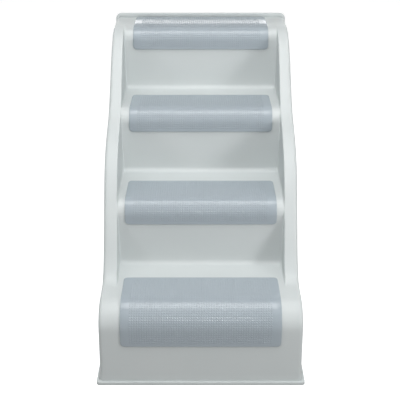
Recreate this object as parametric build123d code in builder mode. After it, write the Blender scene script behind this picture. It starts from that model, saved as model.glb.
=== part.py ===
"""Four-step folding pet stairs, a moulded plastic shell on two folding side panels.

Millimetres, +Z up, +Y towards the back, origin on the floor at the centre of the footprint.
The front of the stairs faces -Y, and left is -X. The side panels stand upright under the shell,
and fold inwards about inclined hinges, the left one first, to lie flat under the steps.
"""

import os
from math import atan2, cos, degrees, radians, sin, tan

from build123d import *

os.makedirs("parts", exist_ok=True)

# Staircase
step_rise = 153.0
bottom_rise = 187.0
step_run = 186.0
bottom_run = 195.0
platform_depth = 142.0
nose_radius = 32.0
bottom_nose_radius = 54.0
corner_radii = {1: 20.0, 2: 14.0, 3: 12.0}
steps = (1, 2, 3, 4)

# Shell moulding
wall = 3.2
inner_half_width = 190.0
rail_width = 29.0
rim_half_width = inner_half_width + rail_width
side_draft = 1.4
rail_outer_radius = 8.0
rail_proud = 2.0
rail_run_out = 3.0
overrun = 60.0

# Base and flange round the open underside
base_depth = 150.0
back_drop = 50.0
flange_ledge = 6.5
flange_half_width = rim_half_width + flange_ledge
flange_thickness = 6.0
front_lip = 6.0
front_corner_radius = 7.0
stop_lip_depth = 20.0
stop_lip_clearance = 0.5
back_rim_height = 12.0
back_rim_lip = 3.0
back_rim_radius = 15.0
back_rim_edge = 1.4

# Stiffening ribs under the treads
rib_thickness = 2.6
rib_depth = 24.0
rib_count = 3

# Non-slip pads
pad_side_gap = 20.0
pad_width = 2 * (inner_half_width - pad_side_gap)
pad_thickness = 2.8
pad_glue_gap = 0.15
pad_front_drop = 51.0
bottom_pad_front_drop = 89.0
pad_back_gap = 62.0
platform_pad_back_gap = 9.0
pad_corner_radius = 9.0

# Side panels
panel_thickness = 16.0
panel_skin = 3.0
panel_edge_wall = 4.0
panel_rib = 2.6
panel_rib_pitch = 60.0
panel_foot_block = 12.0
panel_front_start = 78.0
panel_back_gap = 12.0
panel_corner_radius = 18.0
panel_arch_height = 34.0
panel_arch_radius = 26.0
panel_arch_splay = 30.0
panel_toe_radius = 7.0
panel_foot_length = 66.0
panel_field_margin = 26.0
panel_field_depth = 1.2
panel_field_radius = 14.0
panel_stack_gap = 2.0
panel_rim_gap = 4.0

# Hinges
hinge_inset = 7.0
hinge_place_shares = (0.10, 0.50, 0.90)
pin_radius = 2.5
pin_seat_clearance = 0.02
pin_running_clearance = 0.08
pin_end_gap = 1.0
panel_knuckle = 26.0
shell_knuckle = 20.0
knuckle_gap = 0.6
knuckle_web_rise = 14.0
knuckle_web_inset = 1.0

# Rubber feet
foot_proud = 1.5
foot_radius = 13.0
foot_recess = 2.6
foot_land = 6.0
foot_land_size = 36.0
foot_stem_radius = 4.0
foot_head_radius = 5.6
foot_head_height = 2.2
foot_fit = 0.2
shoe_inset = 1.5
shoe_recess = 3.2
shoe_length = 52.0

# Places that follow from the sizes above
base_z = foot_proud
tread_z = {n: bottom_rise + (n - 1) * step_rise for n in steps}
platform_z = tread_z[4]
depth = front_lip + bottom_run + 2 * step_run + platform_depth + back_rim_lip
front_y = front_lip - depth / 2
nose_y = {1: front_y}
nose_y[2] = nose_y[1] + bottom_run
nose_y[3] = nose_y[2] + step_run
nose_y[4] = nose_y[3] + step_run
back_y = nose_y[4] + platform_depth
radius_of = {1: bottom_nose_radius, 2: nose_radius, 3: nose_radius, 4: nose_radius}
base_rear_y = front_y + base_depth
rim_back_z = platform_z - back_drop
slope = atan2(rim_back_z - base_z, back_y - base_rear_y)
half_thickness = panel_thickness / 2
panel_pitch = panel_thickness + panel_stack_gap
hinge_x = rim_half_width - hinge_inset
side_names = {-1: "left", 1: "right"}
rim_depth = {-1: 0.0, 1: panel_pitch}
axis_depth = {side: rim_depth[side] + panel_rim_gap + half_thickness for side in side_names}


def on_floor(below):
    """Where a line parallel to the rim, so far below it, meets the base."""
    return (base_rear_y + below / sin(slope), base_z)


def on_back(below):
    """Where a line parallel to the rim, so far below it, meets the back."""
    return (back_y, rim_back_z - below / cos(slope))


def rim_point(along, below):
    """A point so far up the rim line from the base, and so far out below it."""
    start_y, start_z = on_floor(0)
    return (
        start_y + along * cos(slope) + below * sin(slope),
        start_z + along * sin(slope) - below * cos(slope),
    )


def along_rim(y, below):
    """How far up the rim line a point at this depth lies, on a line so far below the rim."""
    return (y - base_rear_y - below * sin(slope)) / cos(slope)


def inset_radius(radius, inset):
    """The radius of a round corner seen from inside its wall, never less than half the wall."""
    return max(radius - inset, wall / 2)


def nose_crest(n):
    """The point where the rail passes just proud of a rounded nose, at 45 degrees."""
    reach = (radius_of[n] + rail_proud) * sin(radians(45))
    return (nose_y[n] + radius_of[n] - reach, tread_z[n] - radius_of[n] + reach)


# The rail's wave, from its landing on the bottom tread up to the platform. Each point stands
# forward of and below a nose, in shares of the run and the rise in front of that nose.
wave_shares = {
    "landing": (2, 0.50, 1.00),
    "foot": (2, 0.18, 0.56),
    "belly": (3, 0.70, 0.60),
    "crest": (3, 0.31, 0.26),
    "shoulder": (4, 0.40, 0.39),
    "start": (4, -0.18, 0.00),
}
run_before = {2: bottom_run, 3: step_run, 4: step_run}


def wave_point(name):
    """One point of the rail's wave, in the stairs' own frame."""
    n, run_share, rise_share = wave_shares[name]
    return (nose_y[n] - run_share * run_before[n], tread_z[n] - rise_share * step_rise)


def inset_point(point, inset):
    """A point of the outer skin moved into the moulding."""
    return (point[0] + inset, point[1] - inset)


def underside(inset, below, opening):
    """The two points that close an outline at the back and at the base's rear."""
    back = on_back(below)
    floor = on_floor(below)
    return [(back[0] - inset, back[1] - opening), (floor[0], floor[1] - opening)]


def stair_outline(inset, opening):
    """The steps seen from the side, moved in by a wall and opened past the rim."""
    path = [(front_y + inset, base_z - opening)]
    radii = []
    for n in steps:
        path.append(inset_point((nose_y[n], tread_z[n]), inset))
        radii.append(inset_radius(radius_of[n], inset))
        if n + 1 in nose_y:
            path.append(inset_point((nose_y[n + 1], tread_z[n]), inset))
            radii.append(corner_radii[n] + inset)
    path.append((back_y - inset, platform_z - inset))
    with BuildSketch(Plane.YZ) as outline:
        with BuildLine():
            FilletPolyline(*path, radius=radii)
            Polyline(path[-1], *underside(inset, 0, opening), path[0])
        make_face()
    return outline.sketch_local


def side_outline(inset, below, opening):
    """A rail seen from the side: bottom step, wave and platform in one line."""
    front = (front_y + inset, base_z - opening)
    corner = inset_point((front_y, tread_z[1]), inset)
    landing = inset_point(wave_point("landing"), inset)
    start = inset_point(wave_point("start"), inset)
    wave = [
        landing,
        inset_point(wave_point("foot"), inset),
        inset_point(nose_crest(2), inset),
        inset_point(wave_point("belly"), inset),
        inset_point(wave_point("crest"), inset),
        inset_point(nose_crest(3), inset),
        inset_point(wave_point("shoulder"), inset),
        start,
    ]
    run_out = (cos(radians(rail_run_out)), sin(radians(rail_run_out)))
    with BuildSketch(Plane.YZ) as outline:
        with BuildLine():
            FilletPolyline(front, corner, landing, radius=[inset_radius(bottom_nose_radius, inset)])
            Spline(*wave, tangents=[run_out, run_out])
            Polyline(
                start,
                (back_y - inset, platform_z - inset),
                *underside(inset, below, opening),
                front,
            )
        make_face()
    return outline.sketch_local


def drafted_side(side, inset):
    """The inclined plane of a side wall's skin, leaning in towards the top of the rail."""
    lean = radians(side_draft)
    y, z = on_floor(0)
    return Plane(
        origin=(side * (rim_half_width - inset), y, z),
        z_dir=(side * cos(lean), -sin(lean) * sin(slope), sin(lean) * cos(slope)),
    )


def is_crest(edge):
    """True for an edge of the drafted skin that runs over the top, not round the opening."""
    middle = edge @ 0.5
    above_rim = (middle.Z - on_floor(0)[1]) * cos(slope) - (middle.Y - on_floor(0)[0]) * sin(slope)
    return middle.Z > base_z + wall and middle.Y < back_y - wall and above_rim > wall


def rail_form(side, inset, below, opening):
    """One rail with its side wall, as a solid moved in by a wall."""
    outline = side_outline(inset, below, opening)
    with BuildPart() as rail:
        with BuildSketch(Plane.YZ.offset(side * (inner_half_width + inset))):
            add(outline)
        extrude(amount=side * (rim_half_width - inner_half_width + wall))
        split(bisect_by=drafted_side(side, inset), keep=Keep.BOTTOM)
        skin = rail.faces().sort_by(Axis.X)[-1 if side > 0 else 0]
        fillet(skin.edges().filter_by(is_crest), inset_radius(rail_outer_radius, inset))
    return rail.part


def body_form(inset, opening):
    """The whole staircase without its flange, as a solid moved in by a wall."""
    outline = stair_outline(inset, opening)
    rails = [
        rail_form(side, inset, 0 if inset else rim_depth[side], opening) for side in side_names
    ]
    with BuildPart() as body:
        with BuildSketch(Plane.YZ):
            add(outline)
        extrude(amount=inner_half_width + inset, both=True)
        add(rails)
    return body.part


def hinge_plane(side, along):
    """A plane square to a hinge's axis, at a place along it."""
    y, z = rim_point(along, axis_depth[side])
    return Plane(origin=(side * hinge_x, y, z), x_dir=(1, 0, 0), z_dir=(0, cos(slope), sin(slope)))


panel_front_y = base_rear_y + panel_front_start
panel_back_y = back_y - panel_back_gap


def panel_span(side):
    """Where a panel's hinge edge starts and ends along the rim."""
    below = axis_depth[side]
    return along_rim(panel_front_y, below), along_rim(panel_back_y, below)


def hinge_places(side):
    """The middle of each hinge along the rim, from the front up."""
    first, last = panel_span(side)
    return [first + share * (last - first) for share in hinge_place_shares]


def knuckle_offsets():
    """How far from a hinge's middle the shell's two knuckles start."""
    near = panel_knuckle / 2 + knuckle_gap
    return (near, -near - shell_knuckle)


foot_x = rim_half_width - wall - foot_land_size / 2 - wall
foot_places = {
    "front_left": (-foot_x, front_y + wall + foot_land_size / 2 + wall),
    "front_right": (foot_x, front_y + wall + foot_land_size / 2 + wall),
    "rear_left": (-foot_x, base_rear_y - foot_land_size / 2),
    "rear_right": (foot_x, base_rear_y - foot_land_size / 2),
}


# Stair shell, one moulding
outer = body_form(0, 0)
hollow = body_form(wall, overrun)
rib_outer = stair_outline(wall / 2, 0)
rib_inner = stair_outline(wall + rib_depth, overrun)

with BuildPart() as stair_shell:
    add(outer)

    # Flange along the base, across the front and down both sides
    with BuildSketch(Plane.XY.offset(base_z)) as base_flange:
        with Locations((0, (front_y - front_lip + base_rear_y) / 2)):
            Rectangle(2 * flange_half_width, base_rear_y - front_y + front_lip)
        fillet(base_flange.vertices().group_by(Axis.Y)[0], front_corner_radius)
    extrude(amount=flange_thickness)

    for side in side_names:
        # Flange up the incline, with a lip that stops the panel from swinging out
        ledge_x = side * (rim_half_width - wall)
        lip_x = side * (hinge_x + half_thickness + stop_lip_clearance)
        below = rim_depth[side]
        for start_x, lower in ((ledge_x, below), (lip_x, below + stop_lip_depth)):
            upper = below - flange_thickness
            with BuildSketch(Plane.YZ.offset(start_x)):
                with BuildLine():
                    Polyline(
                        on_floor(upper), on_back(upper), on_back(lower), on_floor(lower), close=True
                    )
                make_face()
            extrude(amount=side * flange_half_width - start_x)

    # Raised rim behind the platform, with the flange down the back's edges
    back_plate_height = platform_z + back_rim_height - rim_back_z
    with BuildSketch(Plane.XZ.offset(-(back_y + back_rim_lip))) as back_rim:
        with Locations((0, rim_back_z + back_plate_height / 2)):
            Rectangle(2 * flange_half_width, back_plate_height)
        fillet(back_rim.vertices().group_by(Axis.Y)[-1], back_rim_radius)
    extrude(amount=back_rim_lip + wall)
    rim_face = stair_shell.faces().sort_by(Axis.Y)[-1]
    rim_top = [e for e in rim_face.edges() if (e @ 0.5).Z > platform_z]
    fillet(rim_top, back_rim_edge)

    # The open underside
    add(hollow, mode=Mode.SUBTRACT)

    # Ribs under the treads, following the steps
    rib_pitch = 2 * inner_half_width / (rib_count + 1)
    with BuildSketch(Plane.YZ) as rib_profile:
        add(rib_outer)
        add(rib_inner, mode=Mode.SUBTRACT)
    for place in range(rib_count):
        centre = (place - (rib_count - 1) / 2) * rib_pitch
        extrude(rib_profile.sketch.moved(Location((centre, 0, 0))), amount=rib_thickness / 2, both=True)

    # Lands for the rubber feet in the corners of the base
    for x, y in foot_places.values():
        side = 1 if x > 0 else -1
        with BuildSketch(Plane.XY.offset(base_z)):
            with Locations((x + side * wall, y)):
                Rectangle(foot_land_size + 2 * wall, foot_land_size + 2 * wall)
        extrude(amount=foot_land)
        with Locations((x, y, base_z)):
            Cylinder(foot_radius + foot_fit, foot_recess, align=(Align.CENTER, Align.CENTER, Align.MIN),
                     mode=Mode.SUBTRACT)
            Cylinder(foot_stem_radius + foot_fit, foot_land,
                     align=(Align.CENTER, Align.CENTER, Align.MIN), mode=Mode.SUBTRACT)

    # Hinge knuckles under both rims, each on its own web
    for side in side_names:
        for middle in hinge_places(side):
            for start in knuckle_offsets():
                plane = hinge_plane(side, middle + start)
                with BuildSketch(plane) as knuckle:
                    Circle(half_thickness)
                    web_width = half_thickness + hinge_inset - knuckle_web_inset
                    web_height = axis_depth[side] - rim_depth[side] + knuckle_web_rise
                    with Locations((side * (web_width / 2 - half_thickness), -web_height / 2)):
                        Rectangle(web_width, web_height)
                extrude(amount=shell_knuckle)
                with BuildSketch(plane):
                    Circle(pin_radius + pin_seat_clearance)
                extrude(amount=shell_knuckle, mode=Mode.SUBTRACT)

stair_shell.part.label = "stair_shell"
export_step(stair_shell.part, "parts/stair_shell.step")


# Non-slip pads, one over each nose
for n in steps:
    drop = bottom_pad_front_drop if n == 1 else pad_front_drop
    behind = back_y - platform_pad_back_gap if n + 1 not in nose_y else nose_y[n + 1] - pad_back_gap
    pad_low = tread_z[n] - drop
    skins = []
    with BuildPart() as step_pad:
        with BuildSketch(Plane.YZ.offset(-pad_width / 2)):
            with BuildLine():
                for lift in (pad_glue_gap, pad_glue_gap + pad_thickness):
                    skin = [
                        (behind, tread_z[n] + lift),
                        (nose_y[n] - lift, tread_z[n] + lift),
                        (nose_y[n] - lift, pad_low),
                    ]
                    FilletPolyline(*skin, radius=[radius_of[n] + lift])
                    skins.append(skin)
                Line(skins[0][0], skins[1][0])
                Line(skins[0][-1], skins[1][-1])
            make_face()
        extrude(amount=pad_width)
        fillet(step_pad.edges().filter_by(Axis.Z).group_by(Axis.Y)[-1], pad_corner_radius)
        fillet(step_pad.edges().filter_by(Axis.Y).group_by(Axis.Z)[0], pad_corner_radius)
    step_pad.part.label = f"step_pad_{n}"
    export_step(step_pad.part, f"parts/step_pad_{n}.step")


def rim_height(y, below):
    """The height of a line parallel to the rim, so far below it, at a depth."""
    start_y, start_z = on_floor(0)
    return start_z + (y - start_y) * tan(slope) - below / cos(slope)


def rim_meets(z, below):
    """Where a line parallel to the rim, so far below it, reaches a height."""
    start_y, start_z = on_floor(0)
    return start_y + (z - start_z) / tan(slope) + below / sin(slope)


def panel_outline(side):
    """A side panel's outline up to its hinge axis, with an arch between its two feet."""
    arch_z = base_z + panel_arch_height
    arch_front = panel_front_y + panel_foot_length
    arch_back = panel_back_y - panel_foot_length
    with BuildSketch(Plane.YZ) as outline:
        with BuildLine():
            FilletPolyline(
                (panel_front_y, rim_height(panel_front_y, axis_depth[side])),
                (panel_back_y, rim_height(panel_back_y, axis_depth[side])),
                (panel_back_y, base_z),
                (arch_back, base_z),
                (arch_back - panel_arch_splay, arch_z),
                (arch_front + panel_arch_splay, arch_z),
                (arch_front, base_z),
                (panel_front_y, base_z),
                radius=[
                    0,
                    0,
                    panel_corner_radius,
                    panel_toe_radius,
                    panel_arch_radius,
                    panel_arch_radius,
                    panel_toe_radius,
                    panel_toe_radius,
                ],
                close=True,
            )
        make_face()
    return outline.sketch_local


def panel_triangle(side, margin, floor, radius):
    """The part of a panel between its arch and its hinge, as a triangle with round corners."""
    below = axis_depth[side] + half_thickness + margin
    back = panel_back_y - margin
    with BuildSketch(Plane.YZ) as triangle:
        with BuildLine():
            FilletPolyline(
                (rim_meets(floor, below), floor),
                (back, floor),
                (back, rim_height(back, below)),
                radius=radius,
                close=True,
            )
        make_face()
    return triangle.sketch_local


shoe_places = {
    "front": panel_front_y + panel_foot_length / 2,
    "rear": panel_back_y - panel_corner_radius / 2 - panel_foot_length / 2,
}

# Side panels, ribbed on the inside and hinged along their sloping edge
for side, name in side_names.items():
    first, last = panel_span(side)
    outline = panel_outline(side)
    inner_x = side * (hinge_x - half_thickness)
    outer_x = side * (hinge_x + half_thickness)
    pocket_floor = base_z + panel_arch_height + panel_edge_wall
    pocket_triangle = panel_triangle(side, panel_edge_wall, pocket_floor, panel_edge_wall / 2)
    field_floor = base_z + panel_arch_height + panel_field_margin
    field_triangle = panel_triangle(side, panel_field_margin, field_floor, panel_field_radius)
    with BuildPart() as side_panel:
        with BuildSketch(Plane.YZ.offset(inner_x)):
            add(outline)
        extrude(amount=side * panel_thickness)
        with BuildSketch(hinge_plane(side, first)):
            Circle(half_thickness)
        extrude(amount=last - first)

        # Pockets between the ribs on the inner side
        with BuildSketch(Plane.YZ.offset(inner_x)) as pockets:
            add(pocket_triangle)
            foot_pocket = panel_foot_length - 2 * panel_edge_wall
            foot_height = pocket_floor - base_z - panel_foot_block + panel_edge_wall
            with Locations((panel_back_y - panel_foot_length / 2, pocket_floor + panel_edge_wall)):
                Rectangle(foot_pocket, foot_height, align=(Align.CENTER, Align.MAX))
            with Locations((panel_front_y, pocket_floor)):
                Rectangle(2 * panel_edge_wall, platform_z, mode=Mode.SUBTRACT)
            for place in range(1, int((panel_back_y - panel_front_y) // panel_rib_pitch) + 1):
                with Locations((panel_back_y - place * panel_rib_pitch, platform_z / 2)):
                    Rectangle(panel_rib, platform_z, mode=Mode.SUBTRACT)
            for place in range(1, int((platform_z - pocket_floor) // panel_rib_pitch) + 1):
                with Locations((0, pocket_floor + place * panel_rib_pitch)):
                    Rectangle(depth, panel_rib, mode=Mode.SUBTRACT)
        extrude(amount=side * (panel_thickness - panel_skin), mode=Mode.SUBTRACT)

        # Shallow field on the outer side
        with BuildSketch(Plane.YZ.offset(outer_x)) as field:
            add(field_triangle)
        extrude(amount=-side * panel_field_depth, mode=Mode.SUBTRACT)

        # Room for the shell's knuckles, and the pins' bores
        for middle in hinge_places(side):
            for start in knuckle_offsets():
                with BuildSketch(hinge_plane(side, middle + start - knuckle_gap)):
                    Rectangle(panel_thickness + wall, panel_thickness + 2 * knuckle_gap)
                extrude(amount=shell_knuckle + 2 * knuckle_gap, mode=Mode.SUBTRACT)
            with BuildSketch(hinge_plane(side, middle - panel_knuckle)):
                Circle(pin_radius + pin_running_clearance)
            extrude(amount=2 * panel_knuckle, mode=Mode.SUBTRACT)

        # Seats for the rubber shoes
        for place in shoe_places.values():
            with BuildSketch(Plane.XY.offset(base_z)):
                with Locations((side * hinge_x, place)):
                    SlotOverall(shoe_length + foot_fit, panel_thickness - 2 * shoe_inset + foot_fit, rotation=90)
            extrude(amount=shoe_recess, mode=Mode.SUBTRACT)
    side_panel.part.label = f"{name}_side_panel"
    export_step(side_panel.part, f"parts/{name}_side_panel.step")

    # Hinge pins, pressed into the shell and turning free in the panel
    pin_half_length = panel_knuckle / 2 + knuckle_gap + shell_knuckle - pin_end_gap
    for number, middle in enumerate(hinge_places(side), start=1):
        with BuildPart() as hinge_pin:
            with BuildSketch(hinge_plane(side, middle - pin_half_length)):
                Circle(pin_radius)
            extrude(amount=2 * pin_half_length)
            chamfer(hinge_pin.edges(), pin_radius / 5)
        hinge_pin.part.label = f"{name}_hinge_pin_{number}"
        export_step(hinge_pin.part, f"parts/{name}_hinge_pin_{number}.step")

    # Rubber shoes under the panel's two feet
    for end, place in shoe_places.items():
        with BuildPart() as panel_foot:
            with BuildSketch(Plane.XY):
                with Locations((side * hinge_x, place)):
                    SlotOverall(shoe_length, panel_thickness - 2 * shoe_inset, rotation=90)
            extrude(amount=base_z + shoe_recess - foot_fit)
            chamfer(panel_foot.faces().sort_by(Axis.Z)[0].edges(), foot_proud / 3)
        panel_foot.part.label = f"panel_foot_{end}_{name}"
        export_step(panel_foot.part, f"parts/panel_foot_{end}_{name}.step")


# Push-in rubber feet under the shell's base
foot_top = base_z + foot_recess - foot_fit
head_low = base_z + foot_land + foot_fit
for name, (x, y) in foot_places.items():
    with BuildPart() as shell_foot:
        with BuildSketch(Plane.XZ):
            with BuildLine():
                Polyline(
                    (0, 0),
                    (foot_radius - foot_proud / 3, 0),
                    (foot_radius, foot_proud / 3),
                    (foot_radius, foot_top),
                    (foot_stem_radius, foot_top),
                    (foot_stem_radius, head_low),
                    (foot_head_radius, head_low),
                    (foot_stem_radius, head_low + foot_head_height),
                    (0, head_low + foot_head_height),
                    close=True,
                )
            make_face()
        revolve(axis=Axis.Z)
    foot = shell_foot.part.moved(Location((x, y, 0)))
    foot.label = f"shell_foot_{name}"
    export_step(foot, f"parts/shell_foot_{name}.step")

print(f"rim slope {degrees(slope):.2f} degrees")
for side, name in side_names.items():
    y, z = rim_point(hinge_places(side)[1], axis_depth[side])
    print(f"{name} hinge axis through ({side * hinge_x:.3f}, {y:.3f}, {z:.3f})")
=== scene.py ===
"""Looks of the four-step pet stairs: a moulded stair shell, rubber step pads and folding side panels.

Sizes are in millimetres in the part's own frame: +Z up, the front of the stairs towards -Y, and the
origin on the floor at the centre of the footprint. Meshes are written in metres.
"""

import logging
import math
from dataclasses import dataclass, field
from enum import Enum

import bmesh
import bpy
import numpy as np
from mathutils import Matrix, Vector

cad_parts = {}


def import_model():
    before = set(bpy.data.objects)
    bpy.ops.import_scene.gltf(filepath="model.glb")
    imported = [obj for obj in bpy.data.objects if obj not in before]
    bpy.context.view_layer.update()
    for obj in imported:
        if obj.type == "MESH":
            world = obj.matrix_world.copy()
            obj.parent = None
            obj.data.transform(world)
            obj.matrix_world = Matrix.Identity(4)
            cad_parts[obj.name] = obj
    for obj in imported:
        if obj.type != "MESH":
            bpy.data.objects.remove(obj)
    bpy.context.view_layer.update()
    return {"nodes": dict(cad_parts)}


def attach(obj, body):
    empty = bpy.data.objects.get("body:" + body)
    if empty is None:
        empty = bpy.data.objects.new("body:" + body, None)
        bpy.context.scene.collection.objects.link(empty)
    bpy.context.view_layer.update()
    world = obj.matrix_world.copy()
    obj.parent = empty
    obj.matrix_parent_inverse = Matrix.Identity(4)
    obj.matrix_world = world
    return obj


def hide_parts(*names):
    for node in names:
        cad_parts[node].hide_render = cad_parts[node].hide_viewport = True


MM = 0.001
# The largest distances, in millimetres, between the samples of a side view: where it is straight,
# along the rails and ribs, where the skin is sliced, and where a pad is laid over a nose.
STRAIGHT_PITCH = 12.0
WAVE_PITCH = 6.0
SLICE_PITCH = 3.0
PAD_PITCH = 1.0
log = logging.getLogger("pet_stairs")


class Side(Enum):
    """The two sides of the stairs, seen from the front."""

    LEFT = -1
    RIGHT = 1

    @property
    def label(self) -> str:
        """The side's name as nodes, bodies and pieces carry it."""
        return self.name.lower()


def linear_colour(hex_code: str) -> tuple[float, float, float, float]:
    """Turns an sRGB hex colour into a linear one.

    Args:
        hex_code: Six hex digits after a hash sign.

    Returns:
        Linear red, green, blue and an alpha of one.
    """
    channels = [int(hex_code[start : start + 2], 16) / 255 for start in (1, 3, 5)]
    linear = [c / 12.92 if c <= 0.04045 else ((c + 0.055) / 1.055) ** 2.4 for c in channels]
    return (*linear, 1.0)


def add_node(
    tree: bpy.types.NodeTree,
    kind: str,
    settings: dict[str, object] | None = None,
    inputs: dict[str | int, object] | None = None,
) -> bpy.types.Node:
    """Adds a node with its settings, values and links.

    Args:
        tree: The shader or geometry tree.
        kind: The node's type name.
        settings: Attributes of the node.
        inputs: For each input, a socket to link from or a value to hold.

    Returns:
        The new node.
    """
    node = tree.nodes.new(kind)
    for name, value in (settings or {}).items():
        setattr(node, name, value)
    for name, value in (inputs or {}).items():
        if isinstance(value, bpy.types.NodeSocket):
            tree.links.new(value, node.inputs[name])
        else:
            node.inputs[name].default_value = value
    return node


def new_material(name: str) -> tuple[bpy.types.Material, bpy.types.NodeTree, bpy.types.Node]:
    """Starts a material.

    Args:
        name: The material's name.

    Returns:
        The material, its tree and its shader node.
    """
    material = bpy.data.materials.new(name)
    material.use_nodes = True
    tree = material.node_tree
    tree.nodes.clear()
    shader = add_node(tree, "ShaderNodeBsdfPrincipled")
    add_node(tree, "ShaderNodeOutputMaterial", inputs={"Surface": shader.outputs["BSDF"]})
    return material, tree, shader


@dataclass(frozen=True, kw_only=True)
class MouldedSurface:
    """What moulded plastic and rubber share: wide clouds of two close colours, and a fine grain."""

    name: str
    colour: str
    shade: str
    roughness: float
    ior: float
    cloud_mm: float
    cloud_detail: float
    grain_mm: float
    grain_detail: float
    grain_height_mm: float
    grain_strength: float

    def shine(
        self, tree: bpy.types.NodeTree, shader: bpy.types.Node, cloud: bpy.types.NodeSocket
    ) -> None:
        """Gives the surface an even shine; a kind whose shine wanders does it in its own way."""
        shader.inputs["Roughness"].default_value = self.roughness

    def material(self) -> bpy.types.Material:
        """Builds the material.

        Returns:
            The material, with its clouds as colour and its grain as bump.
        """
        material, tree, shader = new_material(self.name)
        place = add_node(tree, "ShaderNodeTexCoord").outputs["Object"]
        # Wide, faint clouds of colour: a large moulding is never quite even.
        cloud = add_node(
            tree,
            "ShaderNodeTexNoise",
            inputs={"Vector": place, "Scale": 1 / (self.cloud_mm * MM), "Detail": self.cloud_detail},
        ).outputs["Fac"]
        colour = add_node(
            tree,
            "ShaderNodeMix",
            {"data_type": "RGBA"},
            {0: cloud, 6: linear_colour(self.colour), 7: linear_colour(self.shade)},
        )
        # The mould's grain spreads the shine. Such grain is 0.1 to 0.3 mm, finer than a pixel of the
        # render, so it is drawn coarser.
        grain = add_node(
            tree,
            "ShaderNodeTexNoise",
            inputs={"Vector": place, "Scale": 1 / (self.grain_mm * MM), "Detail": self.grain_detail},
        )
        bump = add_node(
            tree,
            "ShaderNodeBump",
            inputs={
                "Height": grain.outputs["Fac"],
                "Distance": self.grain_height_mm * MM,
                "Strength": self.grain_strength,
            },
        )
        tree.links.new(colour.outputs[2], shader.inputs["Base Color"])
        tree.links.new(bump.outputs["Normal"], shader.inputs["Normal"])
        shader.inputs["IOR"].default_value = self.ior
        self.shine(tree, shader, cloud)
        return material


@dataclass(frozen=True, kw_only=True)
class MouldedPolypropylene(MouldedSurface):
    """Injection-moulded polypropylene from a spark-eroded tool: satin, with a fine even grain."""

    ior: float = 1.49
    cloud_mm: float = 150.0
    cloud_detail: float = 2.0
    grain_detail: float = 3.0
    grain_strength: float = 0.6


@dataclass(frozen=True, kw_only=True)
class SoftRubber(MouldedSurface):
    """Thermoplastic rubber, moulded: soft to the eye, with a broad dull shine."""

    ior: float = 1.6
    cloud_detail: float = 3.0
    grain_detail: float = 2.0
    grain_strength: float = 0.5
    wander: float = 0.05

    def shine(
        self, tree: bpy.types.NodeTree, shader: bpy.types.Node, cloud: bpy.types.NodeSocket
    ) -> None:
        """Lets the shine wander in broad patches, as handling leaves soft rubber.

        Args:
            tree: The material's tree.
            shader: Its shader.
            cloud: The clouds that the colour follows too.
        """
        rough = add_node(
            tree,
            "ShaderNodeMapRange",
            inputs={
                "Value": cloud,
                "To Min": self.roughness - self.wander,
                "To Max": self.roughness + self.wander,
            },
        )
        tree.links.new(rough.outputs["Result"], shader.inputs["Roughness"])


@dataclass(frozen=True)
class DrawnSteel:
    """Drawn steel rod: bright, with fine marks that run along it."""

    name: str = "drawn_steel"
    colour: str = "#B9BBBD"
    smoothest: float = 0.2
    roughest: float = 0.4
    mark_mm: float = 0.6
    mark_squeeze: float = 0.08

    def material(self) -> bpy.types.Material:
        """Builds the material.

        Returns:
            The material, a metal whose shine is broken by drawing marks.
        """
        material, tree, shader = new_material(self.name)
        place = add_node(tree, "ShaderNodeTexCoord").outputs["Object"]
        # Long marks from the drawing die streak the highlight along the pin.
        stretch = add_node(
            tree,
            "ShaderNodeMapping",
            inputs={"Vector": place, "Scale": (1.0, self.mark_squeeze, self.mark_squeeze)},
        )
        marks = add_node(
            tree,
            "ShaderNodeTexNoise",
            inputs={"Vector": stretch.outputs["Vector"], "Scale": 1 / (self.mark_mm * MM)},
        )
        rough = add_node(
            tree,
            "ShaderNodeMapRange",
            inputs={"Value": marks.outputs["Fac"], "To Min": self.smoothest, "To Max": self.roughest},
        )
        tree.links.new(rough.outputs["Result"], shader.inputs["Roughness"])
        shader.inputs["Base Color"].default_value = linear_colour(self.colour)
        shader.inputs["Metallic"].default_value = 1.0
        return material


# The shell and the side panels: pale grey and satin, so the rails' waves read as soft shading.
SHELL_PLASTIC = MouldedPolypropylene(
    name="moulded_polypropylene",
    colour="#C8CDCD",
    shade="#C2C8C8",
    roughness=0.5,
    grain_mm=1.1,
    grain_height_mm=0.035,
)
# The pads: blue-grey and smoother than the shell, so each nose carries a band of light.
PAD_RUBBER = SoftRubber(
    name="pad_rubber",
    colour="#A1ABB2",
    shade="#9CA6AD",
    roughness=0.2,
    cloud_mm=20.0,
    grain_mm=0.5,
    grain_height_mm=0.02,
)
# The feet and shoes: near black and dull, a dark line where the stairs meet the floor.
FOOT_RUBBER = SoftRubber(
    name="foot_rubber",
    colour="#35383A",
    shade="#2E3133",
    roughness=0.62,
    cloud_mm=24.0,
    grain_mm=0.6,
    grain_height_mm=0.03,
)
# The hinge pins: bright metal, which shows at their ends when a panel is folded.
PIN_STEEL = DrawnSteel()


def held(share: float) -> float:
    """Keeps a share between nought and one."""
    return min(1.0, max(0.0, share))


def smooth_step(share: float) -> float:
    """Eases a share from nought to one."""
    share = held(share)
    return share * share * (3 - 2 * share)


def quarter_turn(points: int) -> np.ndarray:
    """Angles from nought to a right angle, evenly spaced."""
    return np.linspace(0, math.pi / 2, points)


def full_turn(points: int) -> np.ndarray:
    """Angles round a circle, evenly spaced, the first one not repeated."""
    return np.linspace(0, 2 * math.pi, points, endpoint=False)


def run_lengths(points: np.ndarray) -> np.ndarray:
    """How far along a line each of its points lies."""
    return np.concatenate([[0], np.cumsum(np.linalg.norm(np.diff(points, axis=0), axis=1))])


def points_along(points: np.ndarray, places: np.ndarray) -> np.ndarray:
    """The points of a line at given distances along it."""
    run = run_lengths(points)
    return np.column_stack([np.interp(places, run, points[:, axis]) for axis in (0, 1)])


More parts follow.
